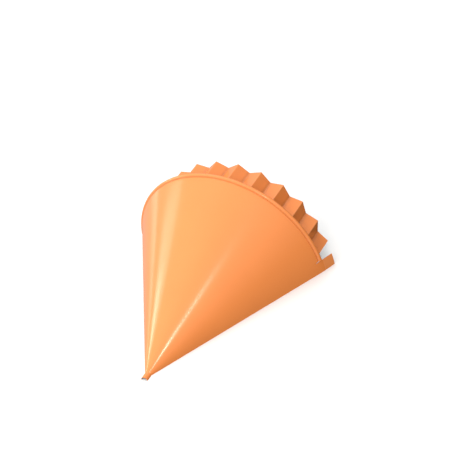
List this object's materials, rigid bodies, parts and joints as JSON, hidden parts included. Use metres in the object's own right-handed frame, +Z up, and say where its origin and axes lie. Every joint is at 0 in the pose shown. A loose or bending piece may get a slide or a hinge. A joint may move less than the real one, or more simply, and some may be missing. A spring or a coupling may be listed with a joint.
{
  "type": "ridge end cap",
  "caption": "Half-cone sheet steel cap with a raised rim bead, a pleated collar and side tabs, closing the end of a half-round roof ridge.",
  "frame": {"origin": "on the cone's axis, level with the straight lower edges, at the face of the rim where the ridge's end stops", "axes": "+Y along the ridge, from the cap's nose to its collar; +Z up from the lower edges; +X across"},
  "size_m": [0.2496, 0.2505, 0.1193],
  "materials": {
    "coated_steel": "smooth glossy orange coating on thin steel sheet"
  },
  "bodies": {
    "root": {"ridge_end_cap": "coated_steel"}
  },
  "joints": []
}
